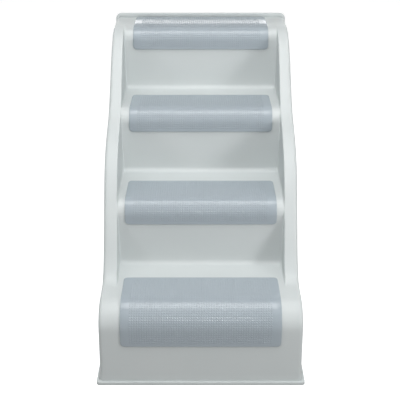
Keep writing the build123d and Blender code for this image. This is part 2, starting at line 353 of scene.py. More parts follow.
def height_and_steepness(path: np.ndarray, along: float, reach: float = 1.0) -> tuple[float, float]:
    """How high and how steep a line is at a place along it.

    Args:
        path: The line, one (place, height) a row.
        along: The place.
        reach: How far before and behind the place the steepness is read.

    Returns:
        The height and the steepness.
    """
    height, ahead, behind = np.interp([along, along + reach, along - reach], path[:, 0], path[:, 1])
    span = min(along + reach, path[-1, 0]) - max(along - reach, path[0, 0])
    return float(height), float(ahead - behind) / span


def rounded_path(corners: list[tuple[float, float]], radii: list[float], pitch: float) -> np.ndarray:
    """Rounds the inner corners of a line and samples it.

    Args:
        corners: The line's corners, in (y, z).
        radii: A radius for each corner between the first and the last.
        pitch: The largest distance between two samples on a straight stretch.

    Returns:
        The samples, one (y, z) a row.
    """
    points = [np.array(corners[0], dtype=float)]
    for before, corner, after, radius in zip(corners, corners[1:], corners[2:], radii):
        here = np.array(corner, dtype=float)
        back = np.array(before, dtype=float) - here
        ahead = np.array(after, dtype=float) - here
        back /= np.linalg.norm(back)
        ahead /= np.linalg.norm(ahead)
        half = math.acos(float(np.clip(back @ ahead, -1, 1))) / 2
        centre = here + (back + ahead) / np.linalg.norm(back + ahead) * radius / math.sin(half)
        start = here + back * radius / math.tan(half) - centre
        end = here + ahead * radius / math.tan(half) - centre
        turn = math.pi - 2 * half
        # One sample for every six degrees of the turn, and six at least.
        for share in np.linspace(0, 1, max(6, int(math.degrees(turn) / 6)) + 1):
            blend = math.sin((1 - share) * turn) * start + math.sin(share * turn) * end
            points.append(centre + blend / math.sin(turn))
    points.append(np.array(corners[-1], dtype=float))
    filled = [points[0]]
    for point in points[1:]:
        start = filled[-1]
        gap = point - start
        pieces = max(1, math.ceil(float(np.linalg.norm(gap)) / pitch))
        filled += [start + gap * step / pieces for step in range(1, pieces + 1)]
    return np.array(filled)


def clamped_spline(points: np.ndarray, angle: float, pitch: float) -> np.ndarray:
    """Draws a smooth cubic line through points, with a given slope at both ends.

    Args:
        points: The points, one (y, z) a row.
        angle: The line's angle above the horizontal at its ends, in radians.
        pitch: The distance between samples.

    Returns:
        The samples, one (y, z) a row.
    """
    knots = run_lengths(points)
    gaps = np.diff(knots)
    count = len(points)
    system = np.zeros((count, count))
    right = np.zeros((count, 2))
    system[0, 0] = system[-1, -1] = 1
    right[0] = right[-1] = (math.cos(angle), math.sin(angle))
    for i in range(1, count - 1):
        system[i, i - 1] = gaps[i]
        system[i, i] = 2 * (gaps[i - 1] + gaps[i])
        system[i, i + 1] = gaps[i - 1]
        slope_before = (points[i] - points[i - 1]) / gaps[i - 1]
        slope_after = (points[i + 1] - points[i]) / gaps[i]
        right[i] = 3 * (gaps[i] * slope_before + gaps[i - 1] * slope_after)
    slopes = np.linalg.solve(system, right)
    samples = []
    for place in np.linspace(0, knots[-1], int(knots[-1] / pitch)):
        i = min(int(np.searchsorted(knots, place, side="right")) - 1, count - 2)
        t = (place - knots[i]) / gaps[i]
        samples.append(
            (2 * t**3 - 3 * t**2 + 1) * points[i]
            + (t**3 - 2 * t**2 + t) * gaps[i] * slopes[i]
            + (3 * t**2 - 2 * t**3) * points[i + 1]
            + (t**3 - t**2) * gaps[i] * slopes[i + 1]
        )
    return np.array(samples)


@dataclass(frozen=True)
class StairSizes:
    """The driving sizes of the stairs, and the places that follow from them."""

    step_rise: float = 153.0
    bottom_rise: float = 187.0
    step_run: float = 186.0
    bottom_run: float = 195.0
    platform_depth: float = 142.0
    nose_radius: float = 32.0
    bottom_nose_radius: float = 54.0
    platform_nose_radius: float = 28.0
    crown_depth: float = 51.0
    crown_fall: float = 5.0
    crown_radius: float = 150.0
    corner_radii: tuple[float, float, float] = (12.0, 11.0, 12.0)
    wall: float = 3.2
    inner_half_width: float = 190.0
    inner_taper: float = 0.7
    rim_half_width: float = 219.0
    side_draft: float = 1.4
    rail_proud: float = 2.0
    rail_run_out: float = 3.0
    base_depth: float = 150.0
    back_drop: float = 50.0
    front_lip: float = 6.0
    back_rim_lip: float = 3.0
    flange_half_width: float = 225.5
    flange_thickness: float = 6.0
    foot_proud: float = 1.5

    @property
    def front_y(self) -> float:
        """The front face of the bottom step."""
        depth = self.front_lip + self.bottom_run + 2 * self.step_run
        return self.front_lip - (depth + self.platform_depth + self.back_rim_lip) / 2

    @property
    def nose_y(self) -> list[float]:
        """The riser of each step, from the bottom up."""
        second = self.front_y + self.bottom_run
        return [self.front_y, second, second + self.step_run, second + 2 * self.step_run]

    @property
    def tread_z(self) -> list[float]:
        """The top of each step, from the bottom up."""
        return [self.bottom_rise + n * self.step_rise for n in range(4)]

    @property
    def nose_radii(self) -> list[float]:
        """The radius of each nose, from the bottom up."""
        return [self.bottom_nose_radius, self.nose_radius, self.nose_radius, self.platform_nose_radius]

    @property
    def back_y(self) -> float:
        """The back of the platform."""
        return self.nose_y[3] + self.platform_depth

    @property
    def base_rear_y(self) -> float:
        """Where the base ends and the sloping rim starts."""
        return self.front_y + self.base_depth

    @property
    def rim_back_z(self) -> float:
        """The height of the rim at the back."""
        return self.tread_z[3] - self.back_drop

    @property
    def slope(self) -> float:
        """The angle of the sloping rim, in radians."""
        rise = self.rim_back_z - self.foot_proud
        return math.atan2(rise, self.back_y - self.base_rear_y)

    def up_slope(self, points: np.ndarray) -> np.ndarray:
        """Turns (y, z) into a place along the rim's direction and a height square to it."""
        cos, sin = math.cos(self.slope), math.sin(self.slope)
        return np.column_stack([points @ (cos, sin), points @ (-sin, cos)])

    def from_slope(self, along: float, height: float) -> tuple[float, float]:
        """Turns a place along the rim and a height square to it back into y and z."""
        cos, sin = math.cos(self.slope), math.sin(self.slope)
        return along * cos - height * sin, along * sin + height * cos

    @property
    def rim_height(self) -> float:
        """The height of the rim's line, square to the slope."""
        return float(self.up_slope(np.array([[self.base_rear_y, self.foot_proud]]))[0, 1])

    @property
    def middle_along(self) -> float:
        """The place along the slope that lies level with the third tread's nose."""
        return float(self.up_slope(np.array([[self.nose_y[2], self.tread_z[2]]]))[0, 0])

    def base_height(self, along: float) -> float:
        """The height of the base's lower edge, square to the slope, at a place along it."""
        return (self.foot_proud - along * math.sin(self.slope)) / math.cos(self.slope)

    def platform_front(self, lift: float) -> tuple[list[tuple[float, float]], list[float]]:
        """The platform's nose, whose tread falls gently towards it.

        Args:
            lift: How far the line lies outside the moulding's skin.

        Returns:
            The nose's corner and the one where the fall starts, and their radii.
        """
        top = self.tread_z[3] + lift
        nose = (self.nose_y[3] - lift, top - self.crown_fall)
        crown = (self.nose_y[3] + self.crown_depth, top)
        radius = max(self.platform_nose_radius + lift, self.wall / 2)
        return [nose, crown], [radius, self.crown_radius + lift]

    def stair_path(self, inset: float, pitch: float) -> np.ndarray:
        """The steps seen from the side, from the floor at the front to the back of the platform.

        Args:
            inset: How far the line lies inside the moulding's skin.
            pitch: The largest distance between samples.

        Returns:
            The samples, one (y, z) a row.
        """
        corners = [(self.front_y + inset, self.foot_proud)]
        radii = []
        for n in range(3):
            corners.append((self.nose_y[n] + inset, self.tread_z[n] - inset))
            radii.append(max(self.nose_radii[n] - inset, self.wall / 2))
            corners.append((self.nose_y[n + 1] + inset, self.tread_z[n] - inset))
            radii.append(self.corner_radii[n] + inset)
        front_corners, front_radii = self.platform_front(-inset)
        corners += front_corners + [(self.back_y - inset, self.tread_z[3] - inset)]
        radii += front_radii
        return rounded_path(corners, radii, pitch)

    def wave_points(self) -> np.ndarray:
        """The points that the rails' wave passes through, from the bottom tread to the platform.

        Returns:
            The points, one (y, z) a row.
        """
        # For each point, the step that it hangs on, counted from nought, and how far before that
        # step's riser and below its tread it lies, as shares of the step's run and rise.
        shares = {
            "landing": (1, 0.50, 1.00),
            "foot": (1, 0.18, 0.56),
            "second_nose": (1, 0.0, 0.0),
            "belly": (2, 0.70, 0.60),
            "crest": (2, 0.31, 0.26),
            "third_nose": (2, 0.0, 0.0),
            "shoulder": (3, 0.40, 0.39),
            "start": (3, -0.18, 0.00),
        }
        runs = [0.0, self.bottom_run, self.step_run, self.step_run]
        points = []
        for name, (n, run_share, rise_share) in shares.items():
            if name.endswith("nose"):
                reach = (self.nose_radii[n] + self.rail_proud) * math.sin(math.radians(45))
                y = self.nose_y[n] + self.nose_radii[n] - reach
                z = self.tread_z[n] - self.nose_radii[n] + reach
            else:
                y = self.nose_y[n] - run_share * runs[n]
                z = self.tread_z[n] - rise_share * self.step_rise
            points.append((y, z))
        return np.array(points)

    def rail_path(self, inset: float) -> np.ndarray:
        """A rail seen from the side, from the floor at the front to the back of the platform.

        Args:
            inset: How far the line lies inside the moulding's skin.

        Returns:
            The samples, one (y, z) a row.
        """
        shift = np.array([inset, -inset])
        wave = clamped_spline(self.wave_points() + shift, math.radians(self.rail_run_out), WAVE_PITCH)
        front_face = self.front_y + inset
        front = rounded_path(
            [(front_face, self.foot_proud), (front_face, self.tread_z[0] - inset), tuple(wave[0])],
            [max(self.bottom_nose_radius - inset, self.wall / 2)],
            STRAIGHT_PITCH,
        )
        back_end = (self.back_y - inset, self.tread_z[3] - inset)
        back = rounded_path([tuple(wave[-1]), back_end], [], STRAIGHT_PITCH)
        return np.vstack([front, wave[1:], back[1:]])


def new_object(name: str, mesh: bpy.types.Mesh, material: bpy.types.Material) -> bpy.types.Object:
    """Puts a mesh in the scene as an object at the origin.

    Args:
        name: The object's name.
        mesh: Its mesh, in metres.
        material: Its material.

    Returns:
        The object.
    """
    mesh.materials.clear()
    mesh.materials.append(material)
    piece = bpy.data.objects.new(name, mesh)
    bpy.context.scene.collection.objects.link(piece)
    return piece


def smoothed_mesh(shape: bmesh.types.BMesh, name: str, crease_degrees: float) -> bpy.types.Mesh:
    """Smooths a mesh's faces and keeps its real edges sharp.

    Args:
        shape: The mesh, in metres. It is freed.
        name: The mesh's name.
        crease_degrees: The angle over which an edge stays sharp.

    Returns:
        The smoothed mesh.
    """
    for face in shape.faces:
        face.smooth = True
    for edge in shape.edges:
        edge.smooth = edge.calc_face_angle(math.pi) < math.radians(crease_degrees)
    mesh = bpy.data.meshes.new(name)
    shape.to_mesh(mesh)
    shape.free()
    return mesh


def finish_mesh(shape: bmesh.types.BMesh, name: str, crease_degrees: float = 35.0) -> bpy.types.Mesh:
    """Closes a mesh's seams, turns its faces outwards and smooths it.

    Args:
        shape: The mesh, in metres. It is freed.
        name: The mesh's name.
        crease_degrees: The angle over which an edge stays sharp.

    Returns:
        The finished mesh.
    """
    seam, sliver = 0.01 * MM, 0.005 * MM
    bmesh.ops.remove_doubles(shape, verts=shape.verts, dist=seam)
    bmesh.ops.dissolve_degenerate(shape, edges=shape.edges, dist=sliver)
    bmesh.ops.recalc_face_normals(shape, faces=shape.faces)
    return smoothed_mesh(shape, name, crease_degrees)


def grid_faces(shape: bmesh.types.BMesh, rows: list[np.ndarray], closed: bool = False) -> list[list]:
    """Adds a grid of points to a mesh as quads.

    Args:
        shape: The mesh to add to.
        rows: Rows of points in millimetres, each with the same number of points.
        closed: Whether each row's last point joins its first.

    Returns:
        The vertices, row by row.
    """
    verts = [[shape.verts.new(Vector(point) * MM) for point in row] for row in rows]
    for low, high in zip(verts, verts[1:]):
        count = len(low)
        for i in range(count if closed else count - 1):
            j = (i + 1) % count
            shape.faces.new((low[i], low[j], high[j], high[i]))
    return verts


def border_loop(rows: list[np.ndarray]) -> np.ndarray:
    """The points round the border of a grid.

    Args:
        rows: The grid's rows of points.

    Returns:
        The points, along the first row, up one end, back along the last and down the other end.
    """
    inner = rows[1:-1]
    last_column = [row[-1] for row in inner]
    first_column = [row[0] for row in inner[::-1]]
    return np.array([*rows[0], *last_column, *rows[-1][::-1], *first_column])


def round_edges(
    shape: bmesh.types.BMesh,
    edges: list[bmesh.types.BMEdge],
    radius: float,
    segments: int = 2,
    held_apart: bool = True,
) -> None:
    """Rounds edges of a mesh.

    Args:
        shape: The mesh.
        edges: The edges to round.
        radius: The rounding, in millimetres.
        segments: The number of faces across a rounding.
        held_apart: Whether a rounding stops short of its neighbours.
    """
    bmesh.ops.bevel(
        shape,
        geom=edges,
        offset=radius * MM,
        offset_type="OFFSET",
        segments=segments,
        profile=0.5,
        affect="EDGES",
        clamp_overlap=held_apart,
    )
    # A bevel lists some of its faces in an order that changes from run to run, so all are sorted.
    for parts, place in (
        (shape.verts, lambda vert: tuple(vert.co)),
        (shape.faces, lambda face: tuple(face.calc_center_median())),
    ):
        ranks = {part: rank for rank, part in enumerate(sorted(parts, key=place))}
        parts.sort(key=ranks.get)


def add_prism(
    shape: bmesh.types.BMesh,
    low: list[Vector],
    high: list[Vector],
    edge_radius: float,
    segments: int = 2,
) -> None:
    """Adds a solid between two matching outlines, with its edges rounded.

    Args:
        shape: The mesh to add to.
        low: One end's outline, in millimetres.
        high: The other end's outline, point for point.
        edge_radius: The rounding of its sharp edges, in millimetres.
        segments: The number of faces across a rounding.
    """
    sharp_degrees = 40.0
    start = [shape.verts.new(point * MM) for point in low]
    end = [shape.verts.new(point * MM) for point in high]
    faces = [shape.faces.new(start), shape.faces.new(end[::-1])]
    for i in range(len(start)):
        j = (i + 1) % len(start)
        faces.append(shape.faces.new((start[i], end[i], end[j], start[j])))
    bmesh.ops.recalc_face_normals(shape, faces=faces)
    edges = {edge for face in faces for edge in face.edges}
    sharp = [edge for edge in edges if edge.calc_face_angle(0.0) > math.radians(sharp_degrees)]
    round_edges(shape, sharp, edge_radius, segments)


def set_input(modifier: bpy.types.NodesModifier, name: str, value: object) -> None:
    """Sets one of a geometry tree's named inputs by its socket's identifier.

    Args:
        modifier: The modifier that runs the tree.
        name: The input's name.
        value: The input's value.
    """
    for item in modifier.node_group.interface.items_tree:
        if item.item_type == "SOCKET" and item.in_out == "INPUT" and item.name == name:
            modifier[item.identifier] = value


def realised(
    name: str,
    base: bpy.types.Mesh,
    tree: bpy.types.NodeTree,
    inputs: dict[str, object],
    material: bpy.types.Material,
) -> bpy.types.Object:
    """Runs a geometry tree on a mesh and keeps the result as a plain object.

    Args:
        name: The result's name.
        base: The mesh that the tree starts from.
        tree: The geometry tree.
        inputs: The tree's named inputs, apart from its material.
        material: The result's material.

    Returns:
        The object, with no modifier.
    """
    carrier = bpy.data.objects.new(f"{name}_carrier", base)
    bpy.context.scene.collection.objects.link(carrier)
    modifier = carrier.modifiers.new("repeat", "NODES")
    modifier.node_group = tree
    for key, value in {**inputs, "Material": material}.items():
        set_input(modifier, key, value)
    bpy.context.view_layer.update()
    depsgraph = bpy.context.evaluated_depsgraph_get()
    mesh = bpy.data.meshes.new_from_object(carrier.evaluated_get(depsgraph))
    mesh.name = name
    carrier.modifiers.clear()
    bpy.data.objects.remove(carrier)
    return new_object(name, mesh, material)


def geometry_tree(name: str, inputs: dict[str, str]) -> bpy.types.NodeTree:
    """Starts a geometry tree with named inputs.

    Args:
        name: The tree's name.
        inputs: For each named input, its kind of socket.

    Returns:
        The tree, with its group input first and its output still unlinked.
    """
    tree = bpy.data.node_groups.new(name, "GeometryNodeTree")
    for key, kind in {"Geometry": "Geometry", **inputs, "Material": "Material"}.items():
        tree.interface.new_socket(key, in_out="INPUT", socket_type=f"NodeSocket{kind}")
    tree.interface.new_socket("Geometry", in_out="OUTPUT", socket_type="NodeSocketGeometry")
    tree.nodes.new("NodeGroupInput")
    return tree


def close_tree(
    tree: bpy.types.NodeTree,
    points: bpy.types.NodeSocket,
    instance: bpy.types.NodeSocket,
    rotation: bpy.types.NodeSocket,
) -> None:
    """Ends a geometry tree in copies on points, made real mesh and given their material.

    Args:
        tree: The tree.
        points: The points on which the copies stand.
        instance: What is copied.
        rotation: How each copy is turned.
    """
    copies = add_node(
        tree,
        "GeometryNodeInstanceOnPoints",
        inputs={"Points": points, "Instance": instance, "Rotation": rotation},
    )
    real = add_node(
        tree, "GeometryNodeRealizeInstances", inputs={"Geometry": copies.outputs["Instances"]}
    )
    dressed = add_node(
        tree,
        "GeometryNodeSetMaterial",
        inputs={"Geometry": real.outputs["Geometry"], "Material": tree.nodes[0].outputs["Material"]},
    )
    add_node(tree, "NodeGroupOutput", inputs={"Geometry": dressed.outputs["Geometry"]})


def repeat_along_line_tree() -> bpy.types.NodeTree:
    """A tree that repeats its mesh along a line.

    Returns:
        The tree. Its inputs are Count, Start, Step, Turn and Material.
    """
    tree = geometry_tree(
        "repeat_along_line", {"Count": "Int", "Start": "Vector", "Step": "Vector", "Turn": "Vector"}
    )
    given = tree.nodes[0].outputs
    line = add_node(
        tree,
        "GeometryNodeMeshLine",
        {"mode": "OFFSET"},
        {"Count": given["Count"], "Start Location": given["Start"], "Offset": given["Step"]},
    )
    turn = add_node(tree, "FunctionNodeEulerToRotation", inputs={"Euler": given["Turn"]})
    close_tree(tree, line.outputs["Mesh"], given["Geometry"], turn.outputs["Rotation"])
    return tree


def stud_field_tree() -> bpy.types.NodeTree:
    """A tree that stands a small blunt square stud on every point of a surface.

    Returns:
        The tree. Its inputs are Stud Width, Stud Top, Stud Height and Material.
    """
    tree = geometry_tree("stud_field", {f"Stud {size}": "Float" for size in ("Width", "Top", "Height")})
    given = tree.nodes[0].outputs
    # A square stud is a cone of four sides, so each width is turned into the radius of its corners.
    bottom, top = (
        add_node(tree, "ShaderNodeMath", {"operation": "DIVIDE"}, {0: width, 1: math.sqrt(2)}).outputs[0]
        for width in (given["Stud Width"], given["Stud Top"])
    )
    stud = add_node(
        tree,
        "GeometryNodeMeshCone",
        {"fill_type": "NGON"},
        {"Vertices": 4, "Radius Top": top, "Radius Bottom": bottom, "Depth": given["Stud Height"]},
    )
    square = add_node(
        tree,
        "GeometryNodeTransform",
        inputs={"Geometry": stud.outputs["Mesh"], "Rotation": (0.0, 0.0, math.pi / 4)},
    )
    normal = add_node(tree, "GeometryNodeInputNormal")
    upright = add_node(
        tree,
        "FunctionNodeAlignRotationToVector",
        {"axis": "Z", "pivot_axis": "X"},
        {"Vector": normal.outputs["Normal"]},
    )
    close_tree(tree, given["Geometry"], square.outputs["Geometry"], upright.outputs["Rotation"])
    return tree


@dataclass
class StairMoulding:
    """The one-piece stair shell: skin, flange, back rim, ribs, foot lands and hinge knuckles."""

    sizes: StairSizes = field(default_factory=StairSizes)
    rail_outer_radius: float = 8.0
    rail_inner_radius: float = 2.5
    root_radius: float = 4.0
    least_radius: float = 1.0
    base_spread: float = 1.5
    rail_spread: float = 3.0
    spread_from: float = 40.0
    spread_length: float = 260.0
    flare_height: float = 34.0
    flare_reach: float = 5.3
    flare_power: float = 2.2
    flare_fade: float = 20.0
    slice_gap: float = 0.0012
    tread_points: int = 7
    round_points: int = 8
    wall_points: int = 12
    face_shares: tuple[float, float] = (0.33, 0.66)
    top_shares: tuple[float, float] = (0.35, 0.7)
    skin_crease: float = 50.0
    trim_crease: float = 40.0
    edge_radius: float = 1.2
    flange_edge_radius: float = 0.4
    flange_corner_radius: float = 7.0
    flange_corner_points: int = 7
    flange_low: float = 0.1
    rib_depth: float = 24.0
    rib_thickness: float = 2.6
    rib_count: int = 3
    rib_slices: int = 260
    panel_pitch: float = 18.0
    panel_thickness: float = 16.0
    stop_lip_depth: float = 20.0
    stop_lip_clearance: float = 0.5
    hinge_inset: float = 7.0
    panel_rim_gap: float = 4.0
    back_rim_height: float = 12.0
    back_rim_radius: float = 15.0
    rim_corner_points: int = 9
    bead_width: float = 8.0
    bead_depth: float = 1.5
    bead_inset: float = 0.3
    bead_flatness: float = 0.35
    bead_points: int = 24
    foot_land: float = 6.0
    foot_land_size: float = 36.0
    foot_radius: float = 13.2
    foot_recess: float = 2.6
    foot_points: int = 48
    stem_radius: float = 4.2
    knuckle_length: float = 20.0
    knuckle_rounding: float = 0.6
    knuckle_points: int = 32
    panel_knuckle: float = 26.0
    knuckle_gap: float = 0.6
    web_rise: float = 14.0
    web_inset: float = 1.0
    bore_radius: float = 2.5
    hinge_place_shares: tuple[float, float, float] = (0.10, 0.50, 0.90)
    panel_front_start: float = 78.0
    panel_back_gap: float = 12.0

    def rim_depth(self, side: Side) -> float:
        """How far a side's rim hangs below the left rim, square to the slope."""
        return self.panel_pitch if side is Side.RIGHT else 0.0

    def rim_start(self, below: float) -> tuple[float, float]:
        """Where the line so far below the rim meets the base."""
        s = self.sizes
        return s.base_rear_y + below / math.sin(s.slope), s.foot_proud

    def rim_point(self, y: float, below: float) -> tuple[float, float]:
        """The point at a depth on the line so far below the rim."""
        s = self.sizes
        return y, s.foot_proud + (y - s.base_rear_y) * math.tan(s.slope) - below / math.cos(s.slope)

    def hinge_middles(self, side: Side) -> list[Vector]:
        """Finds the middle of each of a side's hinges.

        Args:
            side: The side of the stairs.

        Returns:
            The middles, from the front up.
        """
        s = self.sizes
        below = self.rim_depth(side) + self.panel_rim_gap + self.panel_thickness / 2
        first = Vector(self.rim_point(s.base_rear_y + self.panel_front_start, below))
        last = Vector(self.rim_point(s.back_y - self.panel_back_gap, below))
        x = side.value * (s.rim_half_width - self.hinge_inset)
        return [Vector((x, *first.lerp(last, share))) for share in self.hinge_place_shares]

    def rail_face_x(self, along: float, inset: float) -> float:
        """How far from the middle a rail's inner face stands, which closes in towards the bottom.

        Args:
            along: The place along the slope.
            inset: How far the face lies inside the moulding's skin.

        Returns:
            The distance.
        """
        s = self.sizes
        taper = math.tan(math.radians(s.inner_taper))
        return s.inner_half_width + inset + (along - s.middle_along) * taper

    def wall_x(self, along: float, height: float, inset: float) -> float:
        """How far from the middle a side wall stands, which leans in and spreads up the slope.

        Args:
            along: The place along the slope.
            height: The height, square to the slope.
            inset: How far the wall lies inside the moulding's skin.

        Returns:
            The distance.
        """
        s = self.sizes
        up_the_rail = smooth_step((along - self.spread_from) / self.spread_length)
        spread = self.base_spread + self.rail_spread * up_the_rail
        lean = math.tan(math.radians(s.side_draft))
        return s.rim_half_width + spread - inset - (height - s.rim_height) * lean

    def rail_outline(
        self, along: float, steps: tuple[float, float], rail: tuple[float, float], inset: float
    ) -> list[tuple[float, float]]:
        """The upper part of a slice: half a tread, and the rail's inner face, top and shoulder.

        Args:
            along: The slice's place along the slope.
            steps: The height and steepness of the steps at that place.
            rail: The height and steepness of the rail at that place.
            inset: How far the slice lies inside the moulding's skin.

        Returns:
            Its points from the middle outwards, each a distance from the middle and a height.
        """
        (step_h, step_k), (rail_h, rail_k) = steps, rail
        rail_stretch = math.hypot(1, rail_k)
        root = self.root_radius + inset
        crest = max(self.rail_inner_radius - inset, self.least_radius)
        shoulder = max(self.rail_outer_radius - inset, self.sizes.wall / 2)
        root_h, crest_h = root * math.hypot(1, step_k), crest * rail_stretch
        fit = min(1.0, (rail_h - step_h) / (root_h + crest_h))
        root_h, crest_h = root_h * fit, crest_h * fit
        shoulder_h = shoulder * rail_stretch
        face_x = self.rail_face_x(along, inset)
        face_low, face_high = step_h + root_h, rail_h - crest_h
        top_from = face_x + crest
        top_to = self.wall_x(along, rail_h, inset) - shoulder
        turn = quarter_turn(self.round_points)
        points = [(x, step_h) for x in np.linspace(0, face_x - root, self.tread_points)]
        points += [
            (face_x - root * (1 - math.sin(t)), step_h + root_h * (1 - math.cos(t))) for t in turn[1:]
        ]
        points += [(face_x, face_low + share * (face_high - face_low)) for share in self.face_shares]
        points += [
            (face_x + crest * (1 - math.cos(t)), rail_h - crest_h * (1 - math.sin(t))) for t in turn
        ]
        points += [(top_from + share * (top_to - top_from), rail_h) for share in self.top_shares]
        for t in turn:
            height = rail_h - shoulder_h * (1 - math.cos(t))
            points.append((self.wall_x(along, height, inset) - shoulder * (1 - math.sin(t)), height))
        return points

    def flared(
        self, point: tuple[float, float], along: float, side: Side, inset: float
    ) -> tuple[float, float, float]:
        """Turns a slice's point into the part's frame, with the base's walls flared near the floor.

        Args:
            point: The point's distance from the middle and its height, square to the slope.
            along: The slice's place along the slope.
            side: The side of the stairs.
            inset: How far the slice lies inside the moulding's skin.

        Returns:
            The point's (x, y, z).
        """
        s = self.sizes
        x, height = point
        y, z = s.from_slope(along, height)
        near_floor = held(1 - (z - s.foot_proud) / self.flare_height)
        outward = held((x - self.rail_face_x(along, inset)) / (s.rim_half_width - s.inner_half_width))
        in_base = held((s.base_rear_y - y) / self.flare_fade)
        flare = self.flare_reach * near_floor**self.flare_power
        return side.value * (x + flare * outward * in_base), y, z

    def section(
        self,
        along: float,
        steps: tuple[float, float],
        rail: tuple[float, float],
        side: Side,
        inset: float,
    ) -> np.ndarray:
        """One slice of the skin, square to the slope, from the middle to a side's rim.

        Args:
            along: The slice's place along the slope.
            steps: The height and steepness of the steps at that place.
            rail: The height and steepness of the rail at that place.
            side: The side of the stairs.
            inset: How far the slice lies inside the moulding's skin.

        Returns:
            The slice's points in millimetres, one (x, y, z) a row.
        """
        s = self.sizes
        rail_h = max(rail[0], steps[0])
        points = self.rail_outline(along, steps, (rail_h, rail[1]), inset)
        back_h = (along * math.cos(s.slope) - (s.back_y - inset)) / math.sin(s.slope)
        low = min(max(s.base_height(along), back_h, s.rim_height - self.rim_depth(side)), rail_h)
        wall_top = max(points[-1][1], low)
        wall = np.linspace(wall_top, low, self.wall_points + 1)[1:]
        points += [(self.wall_x(along, h, inset), h) for h in wall]
        # Whatever hangs below the rim is cut off level with it.
        row = points[:1]
        for x, h in points[1:]:
            if h < low:
                x_before, h_before = row[-1]
                share = (h_before - low) / (h_before - h) if h_before > low else 0.0
                x, h = x_before + share * (x - x_before), low
            row.append((x, h))
        return np.array([self.flared(point, along, side, inset) for point in row])

    def skin_rows(self, places: np.ndarray, inset: float) -> list[np.ndarray]:
        """The slices of the skin from the front to the back, each from the left rim to the right.

        Args:
            places: For each slice, its share of the way along the slope.
            inset: How far the slices lie inside the moulding's skin.

        Returns:
            The slices.
        """
        s = self.sizes
        steps = s.up_slope(s.stair_path(inset, SLICE_PITCH))
        rail = s.up_slope(s.rail_path(inset))
        rows = []
        for share in places:
            along = steps[0, 0] + share * (steps[-1, 0] - steps[0, 0])
            lines = [height_and_steepness(path, along) for path in (steps, rail)]
            left, right = (self.section(along, *lines, side, inset) for side in Side)
            rows.append(np.vstack([left[::-1], right[1:]]))
        return rows

    def slice_places(self) -> np.ndarray:
        """Where the skin is sliced, close together on the noses and in the corners.

        Returns:
            Shares of the way along the slope, from nought to one.
        """
        path = self.sizes.up_slope(self.sizes.stair_path(0.0, STRAIGHT_PITCH))
        kept = [0.0]
        for place in (path[1:, 0] - path[0, 0]) / (path[-1, 0] - path[0, 0]):
            if place - kept[-1] > self.slice_gap:
                kept.append(float(place))
        kept[-1] = 1.0
        return np.array(kept)

    def skin(self, shape: bmesh.types.BMesh) -> None:
        """Adds the skin as a closed wall, the outer face stitched to the inner one.

        Args:
            shape: The mesh to add to.
        """
        places = self.slice_places()
        edges = []
        for inset in (0.0, self.sizes.wall):
            grid = grid_faces(shape, self.skin_rows(places, inset))
            left, right = [row[0] for row in grid], [row[-1] for row in grid]
            edges.append([grid[0], right, grid[-1][::-1], left[::-1]])
        for out_edge, in_edge in zip(*edges):
            for i in range(len(out_edge) - 1):
                corners = (out_edge[i], out_edge[i + 1], in_edge[i + 1], in_edge[i])
                if shape.faces.get(corners) is None:
                    shape.faces.new(corners)

    def base_flange(self, shape: bmesh.types.BMesh) -> None:
        """Adds the flange round the front and sides of the base.

        Args:
            shape: The mesh to add to.
        """
        s = self.sizes
        half, inner = s.flange_half_width, s.rim_half_width - s.wall / 2
        front, radius = s.front_y - s.front_lip, self.flange_corner_radius
        right = [
            (half - radius * (1 - math.sin(t)), front + radius * (1 - math.cos(t)))
            for t in quarter_turn(self.flange_corner_points)
        ]
        left = [(-x, y) for x, y in right[::-1]]
        outline = [(-half, s.base_rear_y)] + left + right + [(half, s.base_rear_y)]
        outline += [(inner, s.base_rear_y), (inner, s.front_y + s.wall / 2)]
        outline += [(-inner, s.front_y + s.wall / 2), (-inner, s.base_rear_y)]
        low = [Vector((x, y, self.flange_low)) for x, y in outline]
        high = [Vector((x, y, s.foot_proud + s.flange_thickness)) for x, y in outline]
        add_prism(shape, low, high, self.flange_edge_radius)

    def slope_flange(self, shape: bmesh.types.BMesh, side: Side) -> None:
        """Adds the ledge up a side's slope, and the lip that stops the panel.

        Args:
            shape: The mesh to add to.
            side: The side of the stairs.
        """
        s = self.sizes
        below = self.rim_depth(side)
        upper = below - s.flange_thickness
        hinge_x = s.rim_half_width - self.hinge_inset
        lip_x = hinge_x + self.panel_thickness / 2 + self.stop_lip_clearance
        for start_x, lower in (
            (s.rim_half_width - s.wall / 2, below),
            (lip_x, below + self.stop_lip_depth),
        ):
            outline = [
                self.rim_start(upper),
                self.rim_point(s.back_y, upper),
                self.rim_point(s.back_y, lower),
                self.rim_start(lower),
            ]
            low, high = (
                [Vector((side.value * x, y, z)) for y, z in outline]
                for x in (start_x, s.flange_half_width)
            )
            add_prism(shape, low, high, self.edge_radius)

    def back_rim(self, shape: bmesh.types.BMesh) -> None:
        """Adds the plate behind the platform, which stands up as a raised rim.

        Args:
            shape: The mesh to add to.
        """
        s = self.sizes
        half, top = s.flange_half_width, s.tread_z[3] + self.back_rim_height
        radius = self.back_rim_radius
        right = [
            (half - radius * (1 - math.sin(t)), top - radius * (1 - math.cos(t)))
            for t in quarter_turn(self.rim_corner_points)
        ]
        outline = [(-x, z) for x, z in right]
        outline += [(-half, s.rim_back_z), (half, s.rim_back_z)] + right[::-1]
        low = [Vector((x, s.back_y - s.wall, z)) for x, z in outline]
        high = [Vector((x, s.back_y + s.back_rim_lip, z)) for x, z in outline]
        add_prism(shape, low, high, self.edge_radius, segments=3)

